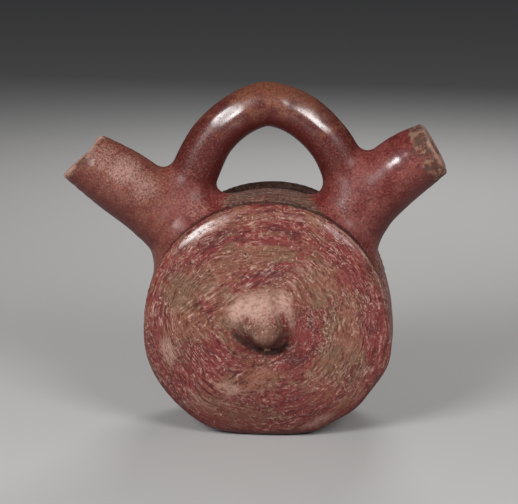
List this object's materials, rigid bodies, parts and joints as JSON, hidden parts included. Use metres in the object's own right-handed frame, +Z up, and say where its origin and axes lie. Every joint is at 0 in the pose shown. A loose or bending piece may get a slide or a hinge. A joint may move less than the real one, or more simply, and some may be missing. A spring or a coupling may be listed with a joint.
{
  "type": "double-spout vessel",
  "caption": "Hollow drum-shaped clay vessel with bulging disc faces, tapering open spouts on either side of an arched handle, and a flat foot; holds and pours liquid.",
  "frame": {"origin": "middle of the flat foot that the vessel stands on", "axes": "+X from the longer spout to the shorter one, -Y towards the disc with the drooping knob, +Z up"},
  "size_m": [0.1797, 0.0888, 0.1621],
  "materials": {
    "fired_clay": "burnished red slip, worn"
  },
  "bodies": {
    "root": {"vessel": "fired_clay"}
  },
  "joints": []
}
